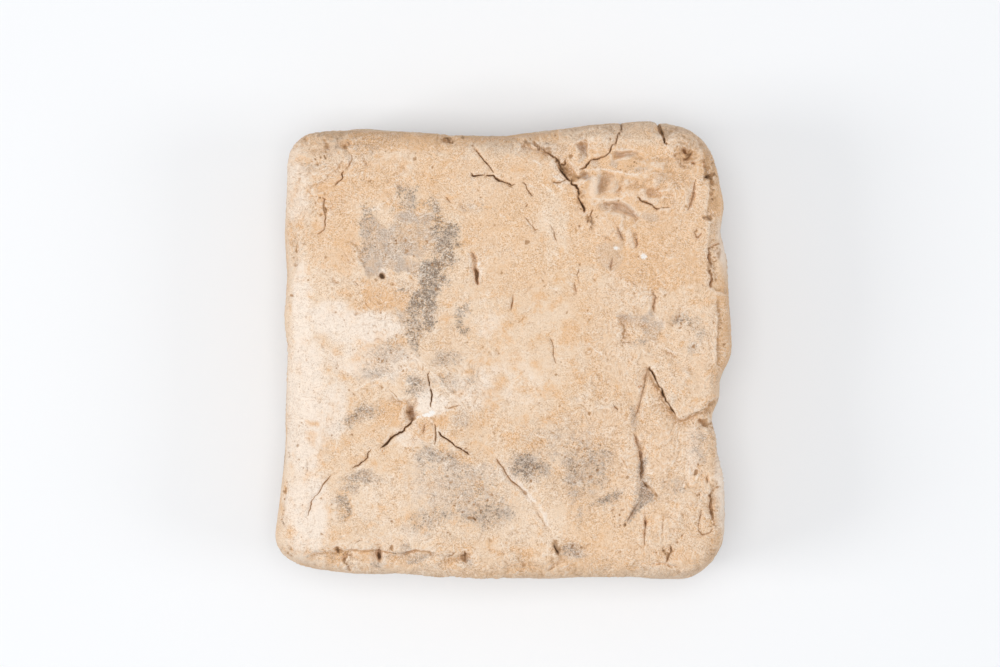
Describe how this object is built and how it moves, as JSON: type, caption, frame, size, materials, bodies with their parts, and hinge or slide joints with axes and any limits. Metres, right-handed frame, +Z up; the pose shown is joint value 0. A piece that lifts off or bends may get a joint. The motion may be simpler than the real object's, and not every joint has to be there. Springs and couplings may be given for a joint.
{
  "type": "cuneiform tablet",
  "caption": "Small, nearly square pillow-shaped clay tablet, cracked, chipped and stained, with worn wedge marks in the upper right of its face.",
  "frame": {"origin": "middle of the bounding box, on the surface that the tablet rests on", "axes": "+X to the right of the face, +Y towards the tablet's upper edge, +Z up out of the face"},
  "size_m": [0.0628, 0.063, 0.021],
  "materials": {
    "clay": "dry matte clay, peach to orange tan, with grey stains, brown cracks and pale mineral specks"
  },
  "bodies": {
    "root": {"tablet": "clay"}
  },
  "joints": []
}
